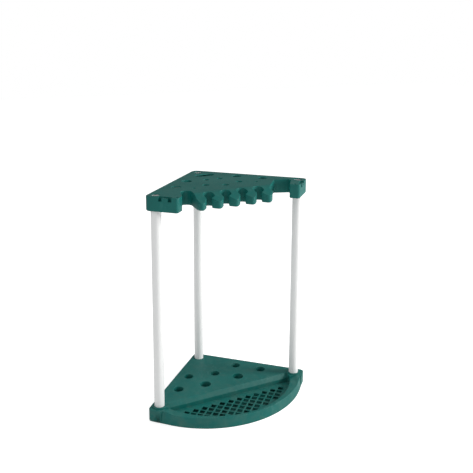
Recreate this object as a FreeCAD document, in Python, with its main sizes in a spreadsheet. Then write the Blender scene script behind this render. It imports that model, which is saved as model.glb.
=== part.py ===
import FreeCAD, Part
import math
import os
import re

import Sketcher

# Corner rack for long garden tools: a moulded base tray, a toothed top shelf
# and three tubes between them. +X to the right, +Y into the corner of the
# room, +Z up, origin on the ground under the middle of the footprint.

doc = FreeCAD.newDocument("garden_tool_rack")
sheet = doc.addObject("Spreadsheet::Sheet", "Sizes")

# Every driving dimension, in millimetres or counts, with what it measures.
SIZES = [
    ("post_diameter", 44, "outside of a tube"),
    ("post_wall", 2.5, "wall of a tube"),
    ("post_clearance", 0.15, "radial gap between a tube and its socket"),
    ("socket_wall", 4, "wall round a tube in its socket"),
    ("skin", 4, "wall of both mouldings"),
    ("cup_base", 4, "underside of the closed sockets above the ground"),
    ("pan_half_width", 303, "half the width of the pan at the deck edge"),
    ("collar_radius", 33, "outside of the collars round the front tubes"),
    ("collar_gap", 4, "from the side of the pan to a collar"),
    ("wall_offset", 35.5, "slanting outer wall from the line through the post axes"),
    ("rear_radius", 25, "rounding of the rear corner in plan"),
    ("deck_top", 54, "top of the base deck"),
    ("collar_rise", 4, "top of the collars above the deck"),
    ("tray_end", 44, "end face of the tray from a front post axis"),
    ("tray_corner", 17, "rounding of the tray's outer corners"),
    ("tray_nose", 50, "ends of the bowed front, from the front post axes"),
    ("bow_reach", 223, "middle of the bowed front at the ground, from the same axes"),
    ("bow_draft", 5, "lean of the bowed front up to the rim"),
    ("apron_lap", 20, "overlap of the apron behind the deck's front edge"),
    ("rim_drop", 9, "rim along the bowed front, below the deck"),
    ("rim_ramp", 34, "length of the slope from the rim up to an end block"),
    ("ridge", 8, "front edge of the deck, behind the front post axes"),
    ("riser_run", 14, "slope of the riser below the deck edge"),
    ("riser_foot", 14, "foot of the riser above the lattice floor"),
    ("groove", 12, "width of the groove in front of the riser"),
    ("groove_depth", 6, "depth of that groove"),
    ("pan_floor", 20, "top of the lattice floor"),
    ("pan_side", 29, "front end of the pan's straight sides"),
    ("pan_reach", 205, "middle of the pan's front"),
    ("lattice_pitch", 30.5, "spacing of the diamond openings along their sides"),
    ("lattice_rib", 6, "rib between two diamonds"),
    ("lattice_margin", 19, "plain border round the lattice"),
    ("shelf_base", 931.5, "lower edge of the shelf above the ground"),
    ("shelf_depth", 62.8, "height of the shelf"),
    ("shelf_corner", 22, "rounding of the shelf's outer corners"),
    ("bead", 7.5, "thickness of the bead along the shelf's lower edge"),
    ("bead_height", 9, "height of that bead"),
    ("nose_cut", 104, "front corner of an end block, from the front post axes"),
    ("nose_radius", 13, "rounding of that corner"),
    ("nose_run", 32, "inner corner of an end block, back along both directions"),
    ("row_pitches", 6.5, "room between the end blocks, in spacings of the teeth"),
    ("tooth_shift", -21, "middle tooth from the middle plane"),
    ("tooth_line", 82, "corners of the teeth, from the front post axes"),
    ("tooth_hub", 91.5, "centre of a tooth's rounded front"),
    ("tooth_radius", 15.5, "radius of that front"),
    ("tooth_flank", 11.8, "where that front meets the flanks, from its middle"),
    ("slope_start", 29, "where the teeth start to fall, from the front post axes"),
    ("slope_radius", 70, "rounding into that fall"),
    ("slope_angle", 26, "fall of the teeth towards the front, in degrees"),
    ("mouth", 22.5, "narrow mouth of a notch"),
    ("notch_width", 47, "round end of a notch"),
    ("notch_shift", 7.5, "that end beside the middle of the mouth"),
    ("notch_centre", 62, "centre of a notch's round end, from the front post axes"),
    ("barb", 10, "how far the round end wraps towards the front on the right"),
    ("deep_notch", 54, "how much further back the left-hand notch goes"),
    ("deep_mouth", 11, "how much wider its mouth is on the right"),
    ("wide_back", 42, "back of the wide opening, behind the front post axes"),
    ("wide_skew", 22, "how far that back comes forward on the right"),
    ("wide_side", 50, "right-hand end of the wide opening, from the inner corner"),
    ("wide_turn", 12, "left-hand end of that back, from the inner corner"),
    ("handle_hole", 36, "hole over each tube"),
    ("hook_centre", 64, "middle of an end face's recess, in front of the front post axes"),
    ("hook_width", 58, "that recess along the face"),
    ("hook_depth", 16, "depth of that recess"),
    ("hook_height", 18, "height of that recess"),
    ("peg_width", 27, "peg standing in that recess"),
    ("peg_thickness", 9, "thickness of that peg"),
    ("peg_drop", 4, "top of the peg below the shelf top"),
    ("slot_gap", 75, "long slot in front of the rear post's axis"),
    ("wall_row", 58.8, "row of large openings from the slanting wall"),
]
for row, (alias, size, meaning) in enumerate(SIZES, start=1):
    sheet.set(f"A{row}", meaning)
    sheet.set(f"B{row}", str(size))
    sheet.setAlias(f"B{row}", alias)
doc.recompute()
ALIASES = re.compile(r"\b(" + "|".join(alias for alias, size, meaning in SIZES) + r")\b")

# Plan geometry that both mouldings share.
SPAN = "(pan_half_width + collar_radius + collar_gap)"
WALL_SUM = f"({SPAN} + wall_offset * sqrt(2))"
WALL_ROW = f"({WALL_SUM} - wall_row * sqrt(2))"
TRAY_DIFF = f"({SPAN} + tray_end * sqrt(2))"
BOW_X = f"({TRAY_DIFF} - tray_nose)"
BOW_RISE = "(bow_reach - tray_nose)"
BOW_RADIUS = f"(({BOW_X} ^ 2 + {BOW_RISE} ^ 2) / (2 * {BOW_RISE}))"
REAR_APEX = f"({WALL_SUM} - rear_radius * (sqrt(2) - 1))"
MIDDLE = f"(({REAR_APEX} - bow_reach) / 2)"
RIM = "(deck_top - rim_drop)"
PAN_RISE = "(pan_reach - pan_side)"
PAN_RADIUS = f"((pan_half_width ^ 2 + {PAN_RISE} ^ 2) / (2 * {PAN_RISE}))"
PAN_HUB = f"({PAN_RADIUS} - pan_reach)"
RISER_FOOT = "(ridge - riser_run)"
SHELF_TOP = "(shelf_base + shelf_depth)"
PLATE = f"({SHELF_TOP} - skin)"
NOSE_X = f"({WALL_SUM} - nose_cut)"
INNER_X = f"({NOSE_X} - nose_run)"
INNER_Y = "(nose_run - nose_cut)"
PITCH = f"(2 * {INNER_X} / row_pitches)"
TOOTH_HALF = f"(({PITCH} - mouth) / 2)"
BORE = "(post_diameter + 2 * post_clearance)"

# Round openings of the shelf: across, back and diameter of each mirrored pair.
SHELF_HOLES = {
    "spade": ("124", f"{WALL_ROW} - 124", "45"),
    "rake": ("212", f"{WALL_ROW} - 212", "42"),
    "stake": ("151", "42", "15"),
    "fork": ("34", "172", "28"),
    "hoe": ("81", "75", "30"),
    "nose": (f"{NOSE_X} - 8", "26 - nose_cut", "12"),
}
# Closed sockets in the base deck, listed the same way.
BASE_SOCKETS = {
    "spade": ("124", f"{WALL_ROW} - 124", "42"),
    "rake": ("212", f"{WALL_ROW} - 212", "45"),
    "hoe": ("84", "82", "50"),
}
# Single holes on the middle plane: back and diameter.
CENTRE_HOLE = ("42", "30")
CENTRE_SOCKET = ("155", "42")
# Length and width of the long slot in front of the rear post.
SLOT = ("92", "45")
# The teeth, from left to right, and the length of their row.
TOOTH_COUNT = 5
TEETH = [f"(tooth_shift + {number - (TOOTH_COUNT - 1) / 2} * {PITCH})" for number in range(TOOTH_COUNT)]
ROW = f"({TOOTH_COUNT} * {PITCH})"
ROW_START = f"(tooth_shift - {ROW} / 2)"


def bound(text):
    """The same expression with every size read from the sheet."""
    return ALIASES.sub(r"Sizes.\1", f"({text})")


def value(text):
    """The expression's present value in millimetres."""
    return float(sheet.evalExpression(f"({text})"))


class Outline:
    """A closed outline of lines and arcs, each vertex bound to the sheet."""

    def __init__(self, across, back):
        self.points = [(across, back)]
        self.arcs = {}

    def to(self, across, back):
        self.points.append((across, back))
        return self

    def arc(self, across, back, centre, radius, clockwise):
        self.arcs[len(self.points) - 1] = (centre, radius, clockwise)
        return self.to(across, back)

    def close(self):
        """Let the last step end at the first point."""
        del self.points[-1]

    def draw(self, sketch):
        count = len(self.points)
        spots = [FreeCAD.Vector(value(x), value(y), 0) for x, y in self.points]
        first = sketch.GeometryCount
        for index in range(count):
            start = spots[index]
            end = spots[(index + 1) % count]
            if index not in self.arcs:
                sketch.addGeometry(Part.LineSegment(start, end), False)
                continue
            centre, radius, clockwise = self.arcs[index]
            hub = FreeCAD.Vector(value(centre[0]), value(centre[1]), 0)
            size = value(radius)
            begin = math.atan2(start.y - hub.y, start.x - hub.x)
            finish = math.atan2(end.y - hub.y, end.x - hub.x)
            turn = (finish - begin) % (2 * math.pi)
            if clockwise:
                turn -= 2 * math.pi
            middle = begin + turn / 2
            top = hub + FreeCAD.Vector(size * math.cos(middle), size * math.sin(middle), 0)
            sketch.addGeometry(Part.Arc(start, top, end), False)
        for index in range(count):
            here = first + index
            after = first + (index + 1) % count
            clockwise = index in self.arcs and self.arcs[index][2]
            tail = 1 if clockwise else 2
            after_index = (index + 1) % count
            head = 2 if after_index in self.arcs and self.arcs[after_index][2] else 1
            sketch.addConstraint(Sketcher.Constraint("Coincident", here, tail, after, head))
            across, back = self.points[after_index]
            self.pin(sketch, here, tail, "DistanceX", across)
            self.pin(sketch, here, tail, "DistanceY", back)
            if index in self.arcs:
                chord = spots[after_index] - spots[index]
                centre = self.arcs[index][0]
                if abs(chord.x) < abs(chord.y):
                    self.pin(sketch, here, 3, "DistanceX", centre[0])
                else:
                    self.pin(sketch, here, 3, "DistanceY", centre[1])

    @staticmethod
    def pin(sketch, geometry, vertex, kind, text):
        limit = Sketcher.Constraint(kind, -1, 1, geometry, vertex, value(text))
        name = sketch.addConstraint(limit)
        sketch.setExpression(f"Constraints[{name}]", bound(text))


class Circle:
    """A full circle bound to the sheet."""

    def __init__(self, across, back, diameter):
        self.across = str(across)
        self.back = str(back)
        self.diameter = str(diameter)

    def draw(self, sketch):
        hub = FreeCAD.Vector(value(self.across), value(self.back), 0)
        up = FreeCAD.Vector(0, 0, 1)
        ring = sketch.addGeometry(Part.Circle(hub, up, value(self.diameter) / 2), False)
        Outline.pin(sketch, ring, 3, "DistanceX", self.across)
        Outline.pin(sketch, ring, 3, "DistanceY", self.back)
        size = Sketcher.Constraint("Diameter", ring, value(self.diameter))
        name = sketch.addConstraint(size)
        sketch.setExpression(f"Constraints[{name}]", bound(self.diameter))


def sketch_on(body, name, shapes, height="0", role="XY_Plane"):
    """A sketch on one of the body's own planes, raised by an expression."""
    sketch = body.newObject("Sketcher::SketchObject", name)
    plane = [item for item in body.Origin.OriginFeatures if item.Role == role][0]
    sketch.AttachmentSupport = (plane, [""])
    sketch.MapMode = "FlatFace"
    sketch.setExpression(".AttachmentOffset.Base.z", bound(height))
    for shape in shapes:
        shape.draw(sketch)
    return sketch


def pad(body, name, shapes, low, high, taper=None):
    """Material from one height up to another."""
    sketch = sketch_on(body, name + "_sketch", shapes, low)
    feature = body.newObject("PartDesign::Pad", name)
    feature.Profile = sketch
    feature.setExpression("Length", bound(f"({high}) - ({low})"))
    if taper:
        feature.setExpression("TaperAngle", bound(taper))
    doc.recompute()
    return feature


def pocket(body, name, shapes, low, high):
    """A cut from one height up to another, checked to remove material."""
    before = body.Shape.Volume
    sketch = sketch_on(body, name + "_sketch", shapes, low)
    feature = body.newObject("PartDesign::Pocket", name)
    feature.Profile = sketch
    feature.Reversed = True
    feature.setExpression("Length", bound(f"({high}) - ({low})"))
    doc.recompute()
    require_cut(name, before, body.Shape.Volume)
    return feature


def require_cut(name, before, after):
    """Stop the build where a step left as much as there was."""
    if after >= before - 1:
        raise RuntimeError(f"{name} removed nothing")


def inset_outline(body, name, sketch, inset):
    """An outline that follows a sketch on its inner side at a steady distance."""
    inside = body.newObject("PartDesign::SubShapeBinder", name + "_outline")
    inside.Support = [(sketch, ("",))]
    inside.MakeFace = True
    inside.OffsetJoinType = "Tangent"
    inside.setExpression("Offset", bound(f"-({inset})"))
    doc.recompute()
    require_cut(name + "_outline", Part.Face(sketch.Shape.Wires[0]).Area, inside.Shape.Area)
    return inside


def hollow(body, name, sketch, inset, low, high):
    """A cavity from below whose sides follow a sketch."""
    before = body.Shape.Volume
    inside = inset_outline(body, name, sketch, inset)
    feature = body.newObject("PartDesign::Pocket", name)
    feature.Profile = inside
    feature.Reversed = True
    feature.setExpression("Length", bound(f"({high}) - ({low})"))
    doc.recompute()
    require_cut(name, before, body.Shape.Volume)
    return feature


def side_pocket(body, name, outline, start, length, plane="YZ_Plane", symmetric=False):
    """A cut whose outline is drawn on an upright plane."""
    before = body.Shape.Volume
    sketch = sketch_on(body, name + "_sketch", [outline], start, plane)
    feature = body.newObject("PartDesign::Pocket", name)
    feature.Profile = sketch
    if symmetric:
        feature.SideType = "Symmetric"
    else:
        feature.Reversed = True
    feature.setExpression("Length", bound(length))
    doc.recompute()
    require_cut(name, before, body.Shape.Volume)
    return feature


def add_rear_walls(outline, corner_x, corner_y, corner_radius):
    """The two slanting walls with their rounded corners, right to left."""
    side = f"({corner_x} - {corner_radius} / sqrt(2))"
    hub = f"({corner_x} - {corner_radius} * sqrt(2))"
    low = f"({corner_y} - {corner_radius} / sqrt(2))"
    high = f"({corner_y} + {corner_radius} / sqrt(2))"
    apex_x = "(rear_radius / sqrt(2))"
    apex_y = f"({WALL_SUM} - rear_radius / sqrt(2))"
    apex_hub = f"({WALL_SUM} - rear_radius * sqrt(2))"
    outline.to(side, low)
    outline.arc(side, high, (hub, corner_y), corner_radius, False)
    outline.to(apex_x, apex_y)
    outline.arc(f"-{apex_x}", apex_y, ("0", apex_hub), "rear_radius", False)
    outline.to(f"-{side}", high)
    outline.arc(f"-{side}", low, (f"-{hub}", corner_y), corner_radius, False)
    return outline


def pair(across, back, diameter):
    """A circle and its mirror image."""
    return [Circle(across, back, diameter), Circle(f"-({across})", back, diameter)]


def post_circles(diameter):
    """The same circle round each of the three post axes."""
    return pair(SPAN, "0", diameter) + [Circle("0", SPAN, diameter)]


def place(item, across="0", back="0", height="0"):
    """Set a sub-part from the front post axes into the part's own frame."""
    item.setExpression("Placement.Base.x", bound(across))
    item.setExpression("Placement.Base.y", bound(f"{back} - {MIDDLE}"))
    item.setExpression("Placement.Base.z", bound(height))


def diamonds():
    """Whole diamonds that fit between the groove and the pan's front arc."""
    step = value("lattice_pitch") / math.sqrt(2)
    reach = (value("lattice_pitch") - value("lattice_rib")) / math.sqrt(2)
    margin = value("lattice_margin")
    back = value(f"{RISER_FOOT} - groove") - margin - reach
    limit = value(PAN_RADIUS) - margin
    hub = value(PAN_HUB)

    def fits(across):
        front = math.hypot(across, back - reach - hub)
        return max(front, math.hypot(across + reach, back - hub)) < limit

    row = 0
    while math.hypot(0, back - reach - hub) < limit:
        across = step if row % 2 == 0 else 0
        while fits(across):
            yield across, back, reach
            if across > 0:
                yield -across, back, reach
            across += 2 * step
        back -= step
        row += 1


def draw_diamonds(sketch):
    """Square openings turned by an eighth of a turn, as ribs cross them."""
    for across, back, reach in diamonds():
        turns = [(reach, 0), (0, reach), (-reach, 0), (0, -reach)]
        spots = [FreeCAD.Vector(across + x, back + y, 0) for x, y in turns]
        first = sketch.GeometryCount
        for index, start in enumerate(spots):
            sketch.addGeometry(Part.LineSegment(start, spots[(index + 1) % 4]), False)
        for index in range(4):
            join = Sketcher.Constraint("Coincident", first + index, 2, first + (index + 1) % 4, 1)
            sketch.addConstraint(join)


def build_tray():
    """The base moulding: deck, bowed apron, pan with its lattice, sockets."""
    body = doc.addObject("PartDesign::Body", "Tray")
    body.Label = "base_tray"
    corner_x = f"(({WALL_SUM} + {TRAY_DIFF}) / 2)"
    corner_y = f"(({WALL_SUM} - {TRAY_DIFF}) / 2)"
    deck = Outline("pan_half_width", "-pan_side").to(BOW_X, "-tray_nose")
    add_rear_walls(deck, corner_x, corner_y, "tray_corner")
    deck.to(f"-{BOW_X}", "-tray_nose").to("-pan_half_width", "-pan_side")
    deck.to("-pan_half_width", "ridge").to("pan_half_width", "ridge")
    deck_pad = pad(body, "Deck", [deck], "0", "deck_top")
    behind = f"({BOW_X} - 2 * bow_draft)"
    apron = Outline(BOW_X, "-tray_nose").to(behind, "ridge + apron_lap")
    apron.to(f"-{behind}", "ridge + apron_lap").to(f"-{BOW_X}", "-tray_nose")
    apron.arc(BOW_X, "-tray_nose", ("0", f"{BOW_RADIUS} - bow_reach"), BOW_RADIUS, False)
    apron.close()
    apron_pad = pad(body, "Apron", [apron], "0", "deck_top", f"-atan(bow_draft / {RIM})")
    # The rim lies lower than the deck and climbs to it at the end blocks.
    over = "(pan_half_width + 2 * rim_ramp)"
    ramp = Outline("-pan_half_width", RIM).to("pan_half_width", RIM)
    ramp.to(over, f"{RIM} + 2 * rim_drop").to(f"-{over}", f"{RIM} + 2 * rim_drop")
    side_pocket(body, "Rim", ramp, "pan_side", "2 * bow_reach", "XZ_Plane")
    hollow(body, "Deck_hollow", deck_pad.Profile[0], "skin", "0", "deck_top - skin")
    hollow(body, "Apron_hollow", apron_pad.Profile[0], "skin + bow_draft", "0", f"{RIM} - skin")
    # The pan, the sloping riser up to the deck and the groove at its foot.
    wide = "(pan_half_width + skin)"
    around = f"({PAN_RADIUS} + skin)"
    wide_side = f"({PAN_HUB} - sqrt({around} ^ 2 - {wide} ^ 2))"
    block = Outline(f"-{wide}", "ridge + skin").to(f"-{wide}", wide_side)
    block.arc(wide, wide_side, ("0", PAN_HUB), around, False)
    block.to(wide, "ridge + skin")
    pad(body, "Pan_block", [block], "pan_floor - groove_depth - skin", f"{RIM} - skin / 4")
    pan = Outline("-pan_half_width", RISER_FOOT).to("-pan_half_width", "-pan_side")
    pan.arc("pan_half_width", "-pan_side", ("0", PAN_HUB), PAN_RADIUS, False)
    pan.to("pan_half_width", RISER_FOOT)
    pocket(body, "Pan", [pan], "pan_floor", "deck_top + skin")
    foot = "(pan_floor + riser_foot)"
    slope = Outline(RISER_FOOT, foot).to("ridge", "deck_top").to("ridge", "deck_top + skin")
    slope.to(f"{RISER_FOOT} - skin", "deck_top + skin").to(f"{RISER_FOOT} - skin", foot)
    side_pocket(body, "Riser", slope, "0", "2 * pan_half_width", symmetric=True)
    groove = Outline("-pan_half_width", RISER_FOOT).to("-pan_half_width", f"{RISER_FOOT} - groove")
    groove.to("pan_half_width", f"{RISER_FOOT} - groove").to("pan_half_width", RISER_FOOT)
    pocket(body, "Groove", [groove], "pan_floor - groove_depth", "pan_floor")
    # Openings through the pan floor, so that water and soil fall out.
    before = body.Shape.Volume
    sketch = sketch_on(body, "Lattice_sketch", [], "pan_floor - groove_depth - 2 * skin")
    draw_diamonds(sketch)
    lattice = body.newObject("PartDesign::Pocket", "Lattice")
    lattice.Profile = sketch
    lattice.Reversed = True
    lattice.setExpression("Length", bound("groove_depth + 3 * skin"))
    doc.recompute()
    require_cut("Lattice", before, body.Shape.Volume)
    # Closed sockets: three for the tubes, the rest for the ends of the tools.
    under = "deck_top - skin / 2"
    collar_top = "(deck_top + collar_rise)"
    pad(body, "Post_cups", post_circles(f"{BORE} + 2 * socket_wall"), "cup_base", under)
    pad(body, "Collars", pair(SPAN, "0", "2 * collar_radius"), under, collar_top)
    pocket(body, "Post_bores", post_circles(BORE), "cup_base + skin", collar_top)
    back, diameter = CENTRE_SOCKET
    cups = [Circle("0", back, f"{diameter} + 2 * skin")]
    bores = [Circle("0", back, diameter)]
    for across, back, diameter in BASE_SOCKETS.values():
        cups += pair(across, back, f"{diameter} + 2 * skin")
        bores += pair(across, back, diameter)
    pad(body, "Tool_cups", cups, "cup_base", under)
    pocket(body, "Tool_bores", bores, "cup_base + skin", "deck_top")
    place(body)
    return body


def tooth(outline, middle, left=""):
    """The rounded front of one tooth between its two corners, left to right."""
    front = "(-tooth_hub - sqrt(tooth_radius ^ 2 - tooth_flank ^ 2))"
    outline.to(left or f"{middle} - {TOOTH_HALF}", "-tooth_line")
    outline.to(f"{middle} - tooth_flank", front)
    outline.arc(f"{middle} + tooth_flank", front, (middle, "-tooth_hub"), "tooth_radius", False)
    outline.to(f"{middle} + {TOOTH_HALF}", "-tooth_line")


def notch(outline, middle):
    """The round end of a notch, which wraps behind the tooth on its right."""
    hub = f"({middle} + notch_shift)"
    half = "(notch_width / 2)"
    outline.to(f"{hub} - {half}", "-notch_centre")
    outline.arc(f"{hub} + sqrt({half} ^ 2 - barb ^ 2)", "-notch_centre - barb",
                (hub, "-notch_centre"), half, True)


def front_row():
    """The shelf's outline in plan, with its teeth, notches and end blocks."""
    outline = Outline(INNER_X, INNER_Y)
    tangent = "(nose_radius / sqrt(2))"
    low = f"({tangent} - nose_cut)"
    hub = "(nose_radius * sqrt(2) - nose_cut)"
    outline.to(f"{NOSE_X} - {tangent}", low)
    outline.arc(f"{NOSE_X} + {tangent}", low, (NOSE_X, hub), "nose_radius", False)
    add_rear_walls(outline, WALL_SUM, "0", "shelf_corner")
    outline.to(f"-({NOSE_X} + {tangent})", low)
    outline.arc(f"-({NOSE_X} - {tangent})", low, (f"-{NOSE_X}", hub), "nose_radius", False)
    outline.to(f"-{INNER_X}", INNER_Y)
    # The left-hand notch goes deeper and opens from the end block's inner corner.
    hub = f"({TEETH[0]} - {PITCH} / 2 + notch_shift)"
    half = "(notch_width / 2)"
    deep = "(deep_notch - notch_centre)"
    outline.to(f"{hub} - {half}", deep)
    outline.arc(f"{hub} + {half}", deep, (hub, deep), half, True)
    tooth(outline, TEETH[0], f"{TEETH[0]} - {TOOTH_HALF} + deep_mouth")
    for middle in TEETH[1:]:
        notch(outline, f"({middle} - {PITCH} / 2)")
        tooth(outline, middle)
    # The wide opening beside the right-hand end block follows the wall behind it.
    outline.to(f"{TEETH[-1]} + {PITCH} / 2 + notch_shift - {half}", "-notch_centre")
    outline.to(f"{INNER_X} - wide_turn", "wide_back")
    outline.to(f"{INNER_X} + wide_side", "wide_back - wide_skew")
    outline.to(f"{INNER_X} + wide_side", "0")
    return outline


def fall(cover):
    """The side view of what is cut away over the teeth, a cover below their tops."""
    radius = f"(slope_radius - {cover})"
    hub = f"({SHELF_TOP} - slope_radius)"
    turn_y = f"(-slope_start - {radius} * sin(slope_angle))"
    turn_z = f"({hub} + {radius} * cos(slope_angle))"
    front = "(-tooth_hub - tooth_radius - skin)"
    above = f"({SHELF_TOP} + skin)"
    outline = Outline("-slope_start", f"{SHELF_TOP} - {cover}")
    outline.arc(turn_y, turn_z, ("-slope_start", hub), radius, False)
    outline.to(front, f"{turn_z} + ({front} - {turn_y}) * tan(slope_angle)")
    return outline.to(front, above).to("-slope_start", above)


def build_core(outline):
    """The room inside the shelf, a skin away from all that the shelf shows."""
    core = doc.addObject("PartDesign::Body", "Shelf_core")
    start = "(shelf_base + bead_height)"
    sketch = sketch_on(core, "Room_sketch", [outline], start)
    room = core.newObject("PartDesign::Pad", "Room")
    room.Profile = inset_outline(core, "Room", sketch, "skin")
    room.setExpression("Length", bound(f"{PLATE} - {start}"))
    doc.recompute()
    way = core.newObject("PartDesign::Pad", "Way_in")
    way.Profile = inset_outline(core, "Way_in", sketch, "bead")
    way.Reversed = True
    way.setExpression("Length", bound("bead_height + skin"))
    doc.recompute()
    side_pocket(core, "Core_fall", fall("skin"), ROW_START, ROW)
    walls = [hook_outline(sign, "(hook_width + 2 * skin)", "(hook_depth + skin)") for sign in ("-", "")]
    pocket(core, "Hook_walls", walls, f"{SHELF_TOP} - hook_height - skin", SHELF_TOP)
    return core


def build_shelf():
    """The top moulding: deep skirt, toothed front, tool holes, hook pegs."""
    outline = front_row()
    core = build_core(outline)
    body = doc.addObject("PartDesign::Body", "Shelf")
    body.Label = "top_shelf"
    pad(body, "Block", [outline], "shelf_base", SHELF_TOP)
    side_pocket(body, "Tooth_tops", fall("0"), ROW_START, ROW)
    recesses = [hook_outline(sign, "hook_width", "hook_depth") for sign in ("-", "")]
    pocket(body, "Hook_recesses", recesses, f"{SHELF_TOP} - hook_height", SHELF_TOP)
    before = body.Shape.Volume
    inside = body.newObject("PartDesign::Boolean", "Inside")
    inside.setObjects([core])
    inside.Type = "Cut"
    doc.recompute()
    require_cut("Inside", before, body.Shape.Volume)
    pegs = [hook_outline(sign, "peg_width", "peg_thickness") for sign in ("-", "")]
    pad(body, "Hook_pegs", pegs, f"{SHELF_TOP} - hook_height - skin / 2", f"{SHELF_TOP} - peg_drop")
    pad(body, "Post_sleeves", post_circles(f"{BORE} + 2 * socket_wall"), "shelf_base", f"{PLATE} + skin / 2")
    pocket(body, "Post_bores", post_circles(BORE), "shelf_base", PLATE)
    holes = post_circles("handle_hole")
    for across, back, diameter in SHELF_HOLES.values():
        holes += pair(across, back, diameter)
    back, diameter = CENTRE_HOLE
    holes.append(Circle("0", back, diameter))
    pocket(body, "Tool_holes", holes, f"{PLATE} - skin", f"{SHELF_TOP} + skin")
    length, width = SLOT
    hub = f"(({length} - {width}) / 2)"
    middle = f"({SPAN} - slot_gap)"
    slot = Outline(f"-{hub}", f"{middle} - {width} / 2").to(hub, f"{middle} - {width} / 2")
    slot.arc(hub, f"{middle} + {width} / 2", (hub, middle), f"({width} / 2)", False)
    slot.to(f"-{hub}", f"{middle} + {width} / 2")
    slot.arc(f"-{hub}", f"{middle} - {width} / 2", (f"-{hub}", middle), f"({width} / 2)", False)
    slot.close()
    pocket(body, "Long_slot", [slot], f"{PLATE} - skin", f"{SHELF_TOP} + skin")
    place(body)
    return body


def hook_outline(sign, width, depth):
    """A rectangle set into an end face, from just outside it inwards."""
    def spot(along, inward):
        across = f"({WALL_SUM} - hook_centre + ({along} - {inward}) / sqrt(2))"
        return (f"{sign}{across}" if sign else across), f"(({along} + {inward}) / sqrt(2) - hook_centre)"

    outline = Outline(*spot(f"{width} / 2", "-1"))
    for along, inward in ((f"{width} / 2", depth), (f"-{width} / 2", depth), (f"-{width} / 2", "-1")):
        outline.to(*spot(along, inward))
    return outline


def build_post(name, across, back):
    """A tube from the floor of its base socket up to the shelf plate."""
    foot = "(cup_base + skin)"
    wall = doc.addObject("Part::Cylinder", name + "_outside")
    wall.setExpression("Radius", bound("post_diameter / 2"))
    wall.setExpression("Height", bound(f"{PLATE} - {foot}"))
    bore = doc.addObject("Part::Cylinder", name + "_inside")
    bore.setExpression("Radius", bound("post_diameter / 2 - post_wall"))
    bore.setExpression("Height", bound(f"{PLATE} - {foot}"))
    tube = doc.addObject("Part::Cut", name + "_tube")
    tube.Base = wall
    tube.Tool = bore
    tube.Label = name
    place(tube, across, back, foot)
    return tube


def finish(parts):
    """Recompute, check every object and write one file for each piece."""
    doc.recompute()
    for item in doc.Objects:
        if "Invalid" in item.State or "Error" in item.State:
            raise RuntimeError(f"{item.Label} did not compute: {item.State}")
    os.makedirs("parts", exist_ok=True)
    for item in parts:
        shape = item.Shape
        if shape.isNull() or not shape.isValid() or len(shape.Solids) != 1:
            raise RuntimeError(f"{item.Label} is not one valid solid")
        shape.exportStep(f"parts/{item.Label}.step")
        box = shape.BoundBox
        print(item.Label, round(shape.Volume / 1000, 1), "cm3", box)


finish([
    build_tray(),
    build_shelf(),
    build_post("left_post", f"-{SPAN}", "0"),
    build_post("right_post", SPAN, "0"),
    build_post("rear_post", "0", SPAN),
])
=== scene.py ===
"""Freestanding garden tool rack: satin green mouldings on pale tubes, in a plain studio."""

import logging
import math
from dataclasses import dataclass, field
from enum import Enum
from typing import Dict, List, Sequence, Tuple

import bmesh
import bpy
from mathutils import Matrix, Vector


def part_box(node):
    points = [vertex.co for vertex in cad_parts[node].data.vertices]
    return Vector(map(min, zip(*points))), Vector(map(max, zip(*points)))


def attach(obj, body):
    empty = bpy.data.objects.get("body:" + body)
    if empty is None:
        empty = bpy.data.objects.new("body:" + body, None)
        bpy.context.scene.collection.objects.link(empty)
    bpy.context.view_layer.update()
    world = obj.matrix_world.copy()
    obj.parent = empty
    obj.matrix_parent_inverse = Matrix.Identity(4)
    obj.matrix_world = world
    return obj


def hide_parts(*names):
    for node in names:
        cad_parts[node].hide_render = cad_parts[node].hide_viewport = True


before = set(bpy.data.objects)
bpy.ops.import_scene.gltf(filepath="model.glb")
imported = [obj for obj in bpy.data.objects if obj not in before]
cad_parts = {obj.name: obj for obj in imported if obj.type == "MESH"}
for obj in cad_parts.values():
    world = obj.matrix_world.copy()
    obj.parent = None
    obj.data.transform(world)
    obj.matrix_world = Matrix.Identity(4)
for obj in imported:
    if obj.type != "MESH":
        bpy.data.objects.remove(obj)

log = logging.getLogger("garden_rack")

Rgb = Tuple[float, float, float]
Place = Tuple[float, float, float]
Range = Tuple[float, float]
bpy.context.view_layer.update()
BODY = "root"
POSTS = ("left_post", "right_post", "rear_post")
POST_AXES = [((low + high) / 2).xy for low, high in map(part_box, POSTS)]
FRONT_TUBE = POST_AXES[POSTS.index("right_post")]


def linear(red: int, green: int, blue: int) -> Rgb:
    """Turn a written screen colour into the scene's linear values.

    Args:
        red: Red from 0 to 255.
        green: Green from 0 to 255.
        blue: Blue from 0 to 255.

    Returns:
        The three linear values.
    """
    def channel(level: int) -> float:
        """One channel of the screen curve undone."""
        part = level / 255
        return part / 12.92 if part <= 0.04045 else ((part + 0.055) / 1.055) ** 2.4

    return channel(red), channel(green), channel(blue)


def at_tube(across: float, back: float, side: int = 1) -> Vector:
    """A place in the plan, measured from the axis of a front tube.

    Args:
        across: Distance outward from the axis, below 0 toward the middle.
        back: Distance to the rear of the axis, below 0 toward the front.
        side: 1 for the right tube, -1 for the left one.

    Returns:
        The place's X and Y.
    """
    return Vector((side * (FRONT_TUBE.x + across), FRONT_TUBE.y + back))


class Socket(Enum):
    """Kinds of input and output that the shared node groups use."""

    COLOUR = "NodeSocketColor"
    NUMBER = "NodeSocketFloat"


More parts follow.
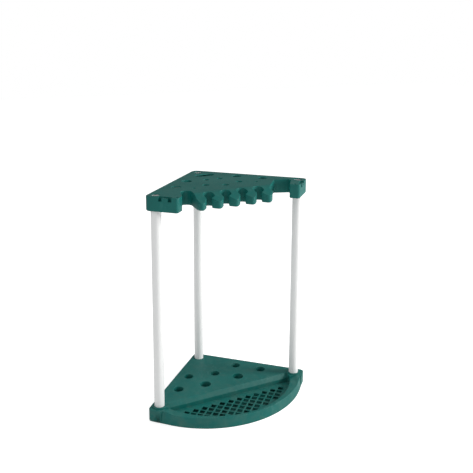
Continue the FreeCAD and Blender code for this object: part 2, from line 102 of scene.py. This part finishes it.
@dataclass
class Graph:
    """A node tree with short calls for adding and joining nodes."""

    tree: bpy.types.NodeTree

    def add(self, kind: str, **values: object) -> bpy.types.Node:
        """Add a node and set its properties or its inputs by name.

        Args:
            kind: Blender's node type.
            values: Property or input names with their values; spaces are written as underscores.

        Returns:
            The new node.
        """
        node = self.tree.nodes.new(kind)
        for name, setting in values.items():
            if hasattr(node, name):
                setattr(node, name, setting)
            else:
                self.feed(node.inputs[name.replace("_", " ")], setting)
        return node

    def join(self, start: bpy.types.NodeSocket, end: bpy.types.NodeSocket) -> None:
        """Link an output to an input."""
        self.tree.links.new(start, end)

    def feed(self, end: bpy.types.NodeSocket, source: object) -> None:
        """Give an input its value.

        Args:
            end: The input.
            source: An output socket, a colour or a number.
        """
        if isinstance(source, bpy.types.NodeSocket):
            self.join(source, end)
        elif isinstance(source, tuple):
            end.default_value = (*source, 1.0)
        else:
            end.default_value = source

    def mix_colour(self, amount: object, first: object, second: object) -> bpy.types.NodeSocket:
        """Blend two colours.

        Args:
            amount: A number or an output socket, 0 for the first colour and 1 for the second.
            first: A colour or an output socket.
            second: A colour or an output socket.

        Returns:
            The blended colour's socket.
        """
        node = self.tree.nodes.new("ShaderNodeMix")
        node.data_type = "RGBA"
        given = {socket.identifier: socket for socket in node.inputs}
        self.feed(given["Factor_Float"], amount)
        self.feed(given["A_Color"], first)
        self.feed(given["B_Color"], second)
        return next(socket for socket in node.outputs if socket.identifier == "Result_Color")

    def math(self, operation: str, first: object, second: object = 0.0) -> bpy.types.NodeSocket:
        """One arithmetic step.

        Args:
            operation: Blender's name of the operation.
            first: A number or an output socket.
            second: A number or an output socket.

        Returns:
            The result's socket.
        """
        node = self.tree.nodes.new("ShaderNodeMath")
        node.operation = operation
        self.feed(node.inputs[0], first)
        self.feed(node.inputs[1], second)
        return node.outputs[0]

    def ramp(self, source: bpy.types.NodeSocket, low: float, high: float) -> bpy.types.NodeSocket:
        """Stretch a value so that low becomes 0 and high becomes 1.

        Args:
            source: The value's socket.
            low: The value that becomes 0.
            high: The value that becomes 1.

        Returns:
            The stretched value's socket.
        """
        return self.add("ShaderNodeMapRange", Value=source, From_Min=low, From_Max=high).outputs["Result"]

    def place(self) -> bpy.types.Node:
        """Take the place on the object apart.

        Returns:
            The node with the place's X, Y and Z.
        """
        parts = self.add("ShaderNodeSeparateXYZ")
        self.join(self.add("ShaderNodeTexCoord").outputs["Object"], parts.inputs[0])
        return parts

    def noise(self, size: object, detail: float, stretch: object = 1.0,
              layer_strength: float = 0.55) -> bpy.types.NodeSocket:
        """Noise in the object's own space.

        Args:
            size: The noise's scale, a number or a socket.
            detail: How many finer layers it has.
            stretch: Factor on the height, below 1 for streaks that run upright.
            layer_strength: How strong each finer layer is against the one before.

        Returns:
            The noise's value.
        """
        parts = self.place()
        height = self.math("MULTIPLY", parts.outputs["Z"], stretch)
        place = self.add("ShaderNodeCombineXYZ", X=parts.outputs["X"], Y=parts.outputs["Y"], Z=height)
        noise = self.add("ShaderNodeTexNoise", Vector=place.outputs[0], Scale=size, Detail=detail,
                         Roughness=layer_strength)
        return noise.outputs["Fac"]


class Group(Graph):
    """A shared shader group with named inputs and outputs."""

    def __init__(self, name: str, inputs: Sequence[Tuple[str, Socket, object]],
                 outputs: Sequence[Tuple[str, Socket]]) -> None:
        """Make the empty group.

        Args:
            name: The group's name.
            inputs: Name, kind and starting value of each input.
            outputs: Name and kind of each output.
        """
        super().__init__(bpy.data.node_groups.new(name, "ShaderNodeTree"))
        for label, kind, start in inputs:
            socket = self.tree.interface.new_socket(label, in_out="INPUT", socket_type=kind.value)
            socket.default_value = (*start, 1.0) if kind is Socket.COLOUR else start
        for label, kind in outputs:
            self.tree.interface.new_socket(label, in_out="OUTPUT", socket_type=kind.value)
        self.start = self.add("NodeGroupInput")
        self.end = self.add("NodeGroupOutput")

    def given(self, label: str) -> bpy.types.NodeSocket:
        """What the material gives to one of the inputs."""
        return self.start.outputs[label]

    def give(self, label: str, source: bpy.types.NodeSocket) -> None:
        """Put a value out."""
        self.join(source, self.end.inputs[label])


@dataclass
class Effects:
    """The surface effects that several finishes share, each a group built once."""

    cloud_range: Range = (0.32, 0.68)
    wave_size: float = 22.0
    rub_range: Range = (0.56, 0.66)
    rub_place_size: float = 9.0
    rub_place_range: Range = (0.50, 0.62)
    dust_size: float = 30.0
    dust_range: Range = (0.40, 0.72)
    level_range: Range = (0.6, 0.98)
    soil_height: float = 0.11

    def __post_init__(self) -> None:
        """Build the groups."""
        self.cloudiness = self.build_cloudiness().tree
        self.grain = self.build_grain().tree
        self.rubs = self.build_rubs().tree
        self.dust = self.build_dust().tree

    def build_cloudiness(self) -> Group:
        """Soft uneven colour, as resin cools unevenly in its mould.

        Returns:
            The group.
        """
        group = Group(
            "uneven_colour",
            [("Colour", Socket.COLOUR, (0.5, 0.5, 0.5)), ("Deeper", Socket.COLOUR, (0.4, 0.4, 0.4)),
             ("Size", Socket.NUMBER, 6.0), ("Amount", Socket.NUMBER, 0.5)],
            [("Colour", Socket.COLOUR), ("Mask", Socket.NUMBER)])
        mask = group.ramp(group.noise(group.given("Size"), detail=5.0), *self.cloud_range)
        amount = group.math("MULTIPLY", mask, group.given("Amount"))
        group.give("Colour", group.mix_colour(amount, group.given("Colour"), group.given("Deeper")))
        group.give("Mask", mask)
        return group

    def build_grain(self) -> Group:
        """The fine height of a textured mould, or of the lines that a die draws along a tube.

        Returns:
            The group.
        """
        group = Group(
            "mould_grain",
            [("Size", Socket.NUMBER, 900.0), ("Stretch", Socket.NUMBER, 1.0), ("Waviness", Socket.NUMBER, 0.3)],
            [("Height", Socket.NUMBER)])
        fine = group.noise(group.given("Size"), detail=2.0, stretch=group.given("Stretch"))
        waves = group.math("MULTIPLY", group.noise(self.wave_size, detail=2.0), group.given("Waviness"))
        group.give("Height", group.math("ADD", fine, waves))
        return group

    def build_rubs(self) -> Group:
        """Small patches that use has rubbed paler.

        Returns:
            The group.
        """
        group = Group("rubbed_patches", [("Size", Socket.NUMBER, 60.0), ("Stretch", Socket.NUMBER, 0.3)],
                      [("Mask", Socket.NUMBER)])
        marks = group.noise(group.given("Size"), detail=6.0, stretch=group.given("Stretch"))
        marks = group.ramp(marks, *self.rub_range)
        places = group.ramp(group.noise(self.rub_place_size, detail=2.0), *self.rub_place_range)
        group.give("Mask", group.math("MULTIPLY", marks, places))
        return group

    def build_dust(self) -> Group:
        """Dust on the faces that look up and a little soil near the ground.

        Returns:
            The group.
        """
        group = Group("settled_dust", [("On top", Socket.NUMBER, 0.3), ("Near ground", Socket.NUMBER, 0.3)],
                      [("Mask", Socket.NUMBER)])
        tilt = group.add("ShaderNodeSeparateXYZ")
        group.join(group.add("ShaderNodeNewGeometry").outputs["Normal"], tilt.inputs[0])
        patches = group.ramp(group.noise(self.dust_size, detail=6.0), *self.dust_range)
        level = group.ramp(tilt.outputs["Z"], *self.level_range)
        low = group.math("SUBTRACT", 1.0, group.ramp(group.place().outputs["Z"], 0.0, self.soil_height))
        top_dust = group.math("MULTIPLY", level, group.given("On top"))
        low_dust = group.math("MULTIPLY", low, group.given("Near ground"))
        group.give("Mask", group.math("MULTIPLY", group.math("MAXIMUM", top_dust, low_dust), patches))
        return group


@dataclass(frozen=True)
class Plastic:
    """Satin plastic: slightly uneven colour, fine grain, rubbed patches and a little dust."""

    name: str
    colour: Rgb
    deeper: Rgb
    rubbed: Rgb
    roughness: float
    specular: float
    grain_size: float
    grain_depth: float
    grain_stretch: float
    rubs: float
    dust_on_top: float
    dust_near_ground: float
    clouds: float = 0.7
    cloud_size: float = 5.0
    cloud_roughness: float = 0.08
    dust: Rgb = linear(150, 143, 126)
    dust_roughness: float = 0.4
    rub_polish: float = 0.15
    grain_strength: float = 0.35
    refraction: float = 1.49

    def material(self, effects: Effects) -> bpy.types.Material:
        """Build the finish.

        Args:
            effects: The shared groups.

        Returns:
            The material, made once.
        """
        if self.name in bpy.data.materials:
            return bpy.data.materials[self.name]
        material = bpy.data.materials.new(self.name)
        material.use_nodes = True
        graph = Graph(material.node_tree)
        surface = material.node_tree.nodes["Principled BSDF"]
        clouds = graph.add("ShaderNodeGroup", node_tree=effects.cloudiness, Colour=self.colour, Deeper=self.deeper,
                           Size=self.cloud_size, Amount=self.clouds)
        rubs = graph.add("ShaderNodeGroup", node_tree=effects.rubs).outputs["Mask"]
        rubbed = graph.math("MULTIPLY", rubs, self.rubs)
        dust = graph.add("ShaderNodeGroup", node_tree=effects.dust, On_top=self.dust_on_top,
                         Near_ground=self.dust_near_ground).outputs["Mask"]
        colour = graph.mix_colour(rubbed, clouds.outputs["Colour"], self.rubbed)
        graph.join(graph.mix_colour(dust, colour, self.dust), surface.inputs["Base Color"])
        rough = graph.math("MULTIPLY", clouds.outputs["Mask"], self.cloud_roughness)
        rough = graph.math("ADD", rough, graph.math("MULTIPLY", dust, self.dust_roughness))
        rough = graph.math("SUBTRACT", rough, graph.math("MULTIPLY", rubbed, self.rub_polish))
        graph.join(graph.math("ADD", rough, self.roughness), surface.inputs["Roughness"])
        grain = graph.add("ShaderNodeGroup", node_tree=effects.grain, Size=self.grain_size,
                          Stretch=self.grain_stretch)
        bump = graph.add("ShaderNodeBump", Height=grain.outputs["Height"], Strength=self.grain_strength,
                         Distance=self.grain_depth)
        graph.join(bump.outputs["Normal"], surface.inputs["Normal"])
        surface.inputs["IOR"].default_value = self.refraction
        surface.inputs["Specular IOR Level"].default_value = self.specular
        return material


GREEN = Plastic(
    name="green_moulding", colour=linear(10, 105, 99), deeper=linear(5, 94, 89), rubbed=linear(58, 132, 126),
    roughness=0.45, specular=0.32, grain_size=1100.0, grain_depth=0.0004, grain_stretch=1.0,
    rubs=0.22, dust_on_top=0.05, dust_near_ground=0.12)
WHITE = Plastic(
    name="white_tube", colour=linear(243, 243, 241), deeper=linear(236, 236, 234), rubbed=linear(205, 203, 197),
    roughness=0.3, specular=0.5, grain_size=700.0, grain_depth=0.0002, grain_stretch=0.01,
    rubs=0.3, dust_on_top=0.2, dust_near_ground=0.15)


class EdgeKind(Enum):
    """The kinds of edge that a mould rounds by different amounts."""

    FOOT = "lower outer edge"
    RIM = "upper outer edge"
    UPRIGHT = "upright corner"
    DETAIL = "edge of an opening or rib"
    SHARP = "hidden edge inside the moulding, or one without room for a radius"


@dataclass(frozen=True)
class EdgeRadii:
    """How far a moulding's edges are rounded, in metres."""

    foot: float
    rim: float
    upright: float
    detail: float
    sharp: float = 0.0

    def of(self, kind: EdgeKind) -> float:
        """The radius of one kind of edge."""
        return getattr(self, kind.name.lower())

    def largest(self) -> float:
        """The largest of the radii."""
        return max(map(self.of, EdgeKind))


TRAY_RADII = EdgeRadii(foot=0.0022, rim=0.0022, upright=0.004, detail=0.001)
SHELF_RADII = EdgeRadii(foot=0.0055, rim=0.002, upright=0.0035, detail=0.001)
TUBE_RADII = EdgeRadii(foot=0.0006, rim=0.0006, upright=0.0006, detail=0.0006)


@dataclass
class Moulding:
    """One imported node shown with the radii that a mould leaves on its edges."""

    node: str
    finish: Plastic
    slot: str
    radii: EdgeRadii
    segments: int = 4
    same_place: float = 1e-5
    same_plane: float = math.radians(0.5)
    sharp_angle: float = math.radians(30)
    upright_from: float = 0.9
    wall_until: float = 0.35
    flat_from: float = 0.8
    tall: float = 0.02
    bead: float = 0.0012
    post_reach: float = 0.0275
    shading_weight: int = 60

    def build(self, effects: Effects) -> bpy.types.Object:
        """Copy the node's mesh, round its edges and dress it.

        Args:
            effects: The shared groups.

        Returns:
            The piece that stands for the node.
        """
        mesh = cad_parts[self.node].data.copy()
        piece = bpy.data.objects.new(self.node + "_finished", mesh)
        bpy.context.scene.collection.objects.link(piece)
        work = bmesh.new()
        work.from_mesh(mesh)
        self.weigh(work)
        self.complete(work)
        work.to_mesh(mesh)
        work.free()
        mesh.update()
        self.round_off(piece)
        mesh.materials.clear()
        mesh.materials.append(self.finish.material(effects))
        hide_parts(self.node)
        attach(piece, BODY)
        return piece

    def weigh(self, work: bmesh.types.BMesh) -> None:
        """Merge doubled corners, join flat facets and weigh each edge by its radius.

        Args:
            work: The mesh to work on.
        """
        bmesh.ops.remove_doubles(work, verts=work.verts, dist=self.same_place)
        bmesh.ops.dissolve_limit(work, angle_limit=self.same_plane, verts=work.verts, edges=work.edges)
        weight = work.edges.layers.float.new("bevel_weight_edge")
        lowest = min(vertex.co.z for vertex in work.verts)
        for face in work.faces:
            face.smooth = True
        for edge in work.edges:
            if edge.calc_face_angle(0.0) > self.sharp_angle:
                kind = self.kind(edge, lowest)
                edge.smooth = kind is not EdgeKind.SHARP
                edge[weight] = self.radii.of(kind) / self.radii.largest()

    def complete(self, work: bmesh.types.BMesh) -> None:
        """Add what the moulding has besides its node's own faces; the plain one has nothing."""

    def round_off(self, piece: bpy.types.Object) -> None:
        """Round the weighed edges and even out the shading.

        Args:
            piece: The dressed piece.
        """
        bevel = piece.modifiers.new("edge_radii", "BEVEL")
        bevel.width = self.radii.largest()
        bevel.segments = self.segments
        bevel.limit_method = "WEIGHT"
        bevel.use_clamp_overlap = False
        bevel.loop_slide = False
        shading = piece.modifiers.new("even_shading", "WEIGHTED_NORMAL")
        shading.mode = "FACE_AREA_WITH_ANGLE"
        shading.weight = self.shading_weight
        shading.keep_sharp = True

    def kind(self, edge: bmesh.types.BMEdge, lowest: float) -> EdgeKind:
        """Tell what kind of edge this is.

        Args:
            edge: An edge between two faces that meet at more than the sharp angle.
            lowest: The moulding's lowest height.

        Returns:
            The edge's kind.
        """
        start, end = (vertex.co for vertex in edge.verts)
        middle = (start + end) / 2
        if not edge.is_convex:
            return EdgeKind.SHARP if self.near_post(middle) else EdgeKind.DETAIL
        if abs((end - start).normalized().z) > self.upright_from:
            return EdgeKind.UPRIGHT if (end - start).length > self.tall else EdgeKind.DETAIL
        walls = [face for face in edge.link_faces if abs(face.normal.z) < self.wall_until]
        flats = [face for face in edge.link_faces if abs(face.normal.z) > self.flat_from]
        if len(walls) != 1 or len(flats) != 1:
            return EdgeKind.DETAIL
        heights = [vertex.co.z for vertex in walls[0].verts]
        high_wall = max(heights) - min(heights) > self.tall
        if flats[0].normal.z < 0:
            outside = high_wall and middle.z < lowest + self.bead and self.faces_out(walls[0], middle)
            return EdgeKind.FOOT if outside and not self.near_post(middle) else EdgeKind.SHARP
        return EdgeKind.RIM if high_wall else EdgeKind.DETAIL

    def faces_out(self, wall: bmesh.types.BMFace, middle: Vector) -> bool:
        """Whether a tall wall shows on the outside, which it does unless a moulding says otherwise."""
        return True

    def near_post(self, point: Vector) -> bool:
        """Whether a point lies at one of the tubes."""
        return any((point.xy - axis).length < self.post_reach for axis in POST_AXES)


@dataclass
class Tray(Moulding):
    """The base moulding, with the lip along its groove and a closed ramp beside each collar.

    Places in the plan are measured across and back from a front tube's axis, heights from the ground.
    """

    post_reach: float = 0.045
    crease: Tuple[float, float] = (0.009, -0.048675)
    crease_reach: float = 0.012
    ramp_across: Range = (-0.0374, -0.0132)
    ramp_heights: Range = (0.0449, 0.0513)
    ramp_back: Range = (-0.040575, -0.028475)
    filler_under: float = 0.040
    wall_back: Range = (-0.029375, -0.025575)
    wall_top: float = 0.0505
    lip_end: float = -0.044
    lip_back: Range = (-0.021675, -0.019075)
    lip_heights: Range = (0.0190, 0.0214)

    def kind(self, edge: bmesh.types.BMEdge, lowest: float) -> EdgeKind:
        """As on any moulding, but sharp where the apron runs into an end block.

        Args:
            edge: An edge between two faces that meet at more than the sharp angle.
            lowest: The tray's lowest height.

        Returns:
            The edge's kind.
        """
        crease = at_tube(*self.crease)
        ends = [Vector((abs(vertex.co.x), vertex.co.y)) for vertex in edge.verts]
        if any((end - crease).length < self.crease_reach for end in ends):
            return EdgeKind.SHARP
        return super().kind(edge, lowest)

    def faces_out(self, wall: bmesh.types.BMFace, middle: Vector) -> bool:
        """The tray's outline bulges all round, so an outer wall looks away from its middle."""
        return wall.normal.xy.dot(middle.xy) > 0

    def complete(self, work: bmesh.types.BMesh) -> None:
        """Add the low lip along the groove and close the slit that the ramp leaves beside each collar.

        Args:
            work: The tray's mesh.
        """
        lip_end = at_tube(self.lip_end, 0.0).x
        self.block(work, (-lip_end, lip_end), self.lip_back, self.lip_heights, self.lip_heights[1])
        start, end = (at_tube(across, 0.0).x for across in self.ramp_across)
        low, high = self.ramp_heights
        for left, right, left_top, right_top in ((start, end, low, high), (-end, -start, high, low)):
            self.block(work, (left, right), self.ramp_back, (self.filler_under, left_top), right_top)
            self.block(work, (left, right), self.wall_back, (self.filler_under, self.wall_top), self.wall_top)

    @staticmethod
    def block(work: bmesh.types.BMesh, across: Range, back: Range, heights: Range, right_top: float) -> None:
        """Add a block with upright sides, whose top may slope from left to right.

        Args:
            work: The mesh to add to.
            across: X of its left and right sides.
            back: Its front and rear sides, measured back from the front tubes' axes.
            heights: Heights of its underside and of its top at the left.
            right_top: Height of its top at the right.
        """
        outline = [(across[0], heights[0]), (across[1], heights[0]), (across[1], right_top), (across[0], heights[1])]
        rows = [[work.verts.new((x, FRONT_TUBE.y + offset, z)) for x, z in outline] for offset in back]
        faces = [rows[0], rows[1][::-1]]
        faces += [[rows[0][i - 1], rows[1][i - 1], rows[1][i], rows[0][i]] for i in range(len(outline))]
        made = [work.faces.new(corners) for corners in faces]
        bmesh.ops.recalc_face_normals(work, faces=made)


@dataclass
class Shelf(Moulding):
    """The top moulding, with a short sleeve below two of its round openings.

    Places in the plan are measured across and back from a front tube's axis, heights from the ground.
    """

    recess: Tuple[float, float] = (-0.0195, -0.058375)
    recess_reach: float = 0.034
    crest_end: Tuple[float, float] = (-0.1655, -0.035075)
    crest_reach: float = 0.0065
    sleeve_place: Tuple[float, float] = (-0.259, 0.075)
    sleeve_radii: Range = (0.01505, 0.01805)
    sleeve_heights: Range = (0.9807, 0.9907)
    sleeve_steps: int = 32

    def kind(self, edge: bmesh.types.BMEdge, lowest: float) -> EdgeKind:
        """As on any moulding, but sharp in the peg recesses and where the crest meets the wide opening.

        Args:
            edge: An edge between two faces that meet at more than the sharp angle.
            lowest: The shelf's lowest height.

        Returns:
            The edge's kind.
        """
        middle = (edge.verts[0].co + edge.verts[1].co) / 2
        mirrored = Vector((abs(middle.x), middle.y))
        in_recess = (mirrored - at_tube(*self.recess)).length < self.recess_reach
        at_crest = (middle.xy - at_tube(*self.crest_end)).length < self.crest_reach
        if (in_recess or at_crest) and middle.z > lowest + self.tall:
            return EdgeKind.SHARP
        return super().kind(edge, lowest)

    def complete(self, work: bmesh.types.BMesh) -> None:
        """Hang a short sleeve below each of the two openings.

        Args:
            work: The shelf's mesh.
        """
        (inner, outer), (low, high) = self.sleeve_radii, self.sleeve_heights
        outline = [(inner, high), (inner, low), (outer, low), (outer, high)]
        for side in (-1, 1):
            centre = at_tube(*self.sleeve_place, side)
            rings = []
            for step in range(self.sleeve_steps):
                turn = 2 * math.pi * step / self.sleeve_steps
                spoke = Vector((math.cos(turn), math.sin(turn)))
                rings.append([work.verts.new((*(centre + radius * spoke), height)) for radius, height in outline])
            made = [work.faces.new([rings[step - 1][i - 1], ring[i - 1], ring[i], rings[step - 1][i]])
                    for step, ring in enumerate(rings) for i in range(len(outline))]
            bmesh.ops.recalc_face_normals(work, faces=made)


@dataclass(frozen=True)
class Lamp:
    """A square soft lamp."""

    name: str
    place: Place
    aim: Place
    size: float
    power: float
    colour: Rgb

    def build(self) -> None:
        """Set up the lamp."""
        data = bpy.data.lights.new(self.name, "AREA")
        data.shape = "SQUARE"
        data.size = self.size
        data.energy = self.power
        data.color = self.colour
        lamp = bpy.data.objects.new(self.name, data)
        bpy.context.scene.collection.objects.link(lamp)
        lamp.location = self.place
        lamp.rotation_mode = "QUATERNION"
        lamp.rotation_quaternion = (Vector(self.aim) - Vector(self.place)).to_track_quat("-Z", "Y")


KEY = Lamp(name="key", place=(3.7, -2.1, 2.0), aim=(0.0, 0.0, 0.5), size=1.3, power=150,
           colour=(1.0, 0.99, 0.97))
FILL = Lamp(name="fill", place=(-3.2, -2.0, 2.2), aim=(0.0, 0.0, 0.4), size=3.0, power=8,
            colour=(0.97, 0.99, 1.0))


@dataclass
class Camera:
    """The camera of the photograph, as solved from the tubes and the edges of both mouldings."""

    name: str = "photograph_view"
    focal_pixels: float = 697.5
    frame_pixels: float = 473.0
    centre_pixels: Tuple[float, float] = (236.5, 170.0)
    pitch: float = 0.2002
    azimuth: float = 0.4764
    roll: float = -0.0052
    place: Place = (-1.3148, -2.683425, 1.6591)
    sensor: float = 36.0
    farthest: float = 100.0

    def build(self) -> None:
        """Set the camera where the photograph was taken."""
        data = bpy.data.cameras.new(self.name)
        camera = bpy.data.objects.new(self.name, data)
        bpy.context.scene.collection.objects.link(camera)
        camera.matrix_world = Matrix.Translation(self.place) @ self.turn()
        data.sensor_width = self.sensor
        data.lens = self.focal_pixels * self.sensor / self.frame_pixels
        data.shift_x = (self.frame_pixels / 2 - self.centre_pixels[0]) / self.frame_pixels
        data.shift_y = (self.centre_pixels[1] - self.frame_pixels / 2) / self.frame_pixels
        data.clip_end = self.farthest
        bpy.context.scene.camera = camera

    def turn(self) -> Matrix:
        """Work out which way the camera is turned.

        Returns:
            The turn as a 4 by 4 matrix.
        """
        sin, cos = math.sin, math.cos
        forward = Vector((sin(self.azimuth) * cos(self.pitch), cos(self.azimuth) * cos(self.pitch), -sin(self.pitch)))
        level = Vector((cos(self.azimuth), -sin(self.azimuth), 0.0))
        down = forward.cross(level)
        right = cos(self.roll) * level + sin(self.roll) * down
        below = -sin(self.roll) * level + cos(self.roll) * down
        return Matrix((right, -below, -forward)).transposed().to_4x4()


@dataclass
class Floor:
    """A wide pale floor, white to the camera, with a painted shade, dark green, where the tray covers it."""

    name: str = "studio_floor"
    half_size: float = 14.0
    colour: Rgb = (0.85, 0.85, 0.85)
    glow: Rgb = (1.0, 1.0, 1.0)
    # Painted shade: a dark green floor colour and a faint green glow under the tray, standing in for the shade seen
    # through the lattice.
    painted_shade_colour: Rgb = (0.05, 0.11, 0.10)
    painted_shade_glow: Rgb = (0.0, 0.030, 0.026)
    glow_level: float = 0.6
    roughness: float = 0.9
    specular: float = 0.1
    tray_wall: float = 0.3118
    bow_centre: float = 0.1434
    bow_radius: float = 0.4448
    fade: float = 0.02

    def build(self) -> None:
        """Lay the floor."""
        mesh = bpy.data.meshes.new(self.name)
        corners = [(x * self.half_size, y * self.half_size, 0) for x, y in ((-1, -1), (1, -1), (1, 1), (-1, 1))]
        mesh.from_pydata(corners, [], [(0, 1, 2, 3)])
        floor = bpy.data.objects.new(self.name, mesh)
        bpy.context.scene.collection.objects.link(floor)
        mesh.materials.append(self.material())

    def material(self) -> bpy.types.Material:
        """Build the floor's finish.

        Returns:
            The material, with a glow that only the camera sees.
        """
        material = bpy.data.materials.new(self.name)
        material.use_nodes = True
        surface = material.node_tree.nodes["Principled BSDF"]
        surface.inputs["Roughness"].default_value = self.roughness
        surface.inputs["Specular IOR Level"].default_value = self.specular
        graph = Graph(material.node_tree)
        outside_painted_shade = self.outside_painted_shade(graph)
        path = graph.add("ShaderNodeLightPath")
        glow = graph.math("MULTIPLY", path.outputs["Is Camera Ray"], self.glow_level)
        graph.join(glow, surface.inputs["Emission Strength"])
        # Under the tray the glow and the base colour switch to the painted shade colours.
        graph.join(graph.mix_colour(outside_painted_shade, self.painted_shade_glow, self.glow), surface.inputs["Emission Color"])
        graph.join(graph.mix_colour(outside_painted_shade, self.painted_shade_colour, self.colour), surface.inputs["Base Color"])
        return material

    def outside_painted_shade(self, graph: Graph) -> bpy.types.NodeSocket:
        """A mask of the floor that is 0 under the tray, where the glow is off and a painted shade darkens the floor.

        Args:
            graph: The floor's material.

        Returns:
            The mask's socket.
        """
        place = graph.place()
        across = graph.math("ABSOLUTE", place.outputs["X"])
        back = place.outputs["Y"]
        behind = graph.ramp(graph.math("ADD", across, back), self.tray_wall - self.fade, self.tray_wall)
        away = graph.math("SUBTRACT", back, self.bow_centre)
        squares = graph.math("ADD", graph.math("MULTIPLY", across, across), graph.math("MULTIPLY", away, away))
        before = graph.ramp(graph.math("SQRT", squares), self.bow_radius - self.fade, self.bow_radius)
        return graph.math("MAXIMUM", behind, before)


@dataclass
class Surround:
    """The pale surround: white behind the rack, softer as light and dimmer in reflections."""

    backdrop: float = 1.0
    light: float = 0.64
    reflected: float = 0.24

    def build(self) -> None:
        """Set up the scene's world."""
        world = bpy.data.worlds.new("surround")
        bpy.context.scene.world = world
        world.use_nodes = True
        graph = Graph(world.node_tree)
        ground = world.node_tree.nodes["Background"]
        ground.inputs["Color"].default_value = (1.0, 1.0, 1.0, 1.0)
        path = graph.add("ShaderNodeLightPath")
        seen = graph.math("MULTIPLY", path.outputs["Is Camera Ray"], self.backdrop - self.light)
        mirrored = graph.math("MULTIPLY", path.outputs["Is Glossy Ray"], self.light - self.reflected)
        level = graph.math("SUBTRACT", graph.math("ADD", seen, self.light), mirrored)
        graph.join(level, ground.inputs["Strength"])


@dataclass
class Studio:
    """Floor, lamps, surround and camera."""

    lamps: Tuple[Lamp, ...] = (KEY, FILL)

    def build(self) -> None:
        """Make the whole studio."""
        Camera().build()
        Floor().build()
        for lamp in self.lamps:
            lamp.build()
        Surround().build()
        bpy.context.scene.view_settings.view_transform = "Standard"


@dataclass
class Rack:
    """The whole rack, piece by piece."""

    effects: Effects = field(default_factory=Effects)

    def pieces(self) -> List[Moulding]:
        """List the real pieces with their finishes.

        Returns:
            The five pieces.
        """
        mouldings = [
            Tray("base_tray", GREEN, "green_plastic", TRAY_RADII),
            Shelf("top_shelf", GREEN, "green_plastic", SHELF_RADII),
        ]
        return mouldings + [Moulding(post, WHITE, "white_tube", TUBE_RADII, segments=2) for post in POSTS]

    def build(self) -> None:
        """Build each piece and log it."""
        for moulding in self.pieces():
            piece = moulding.build(self.effects)
            log.info("%s: %d faces", piece.name, len(piece.data.polygons))


def main() -> None:
    """Build the studio and the rack."""
    logging.basicConfig(level=logging.INFO)
    Studio().build()
    Rack().build()


if __name__ == "__main__":
    main()
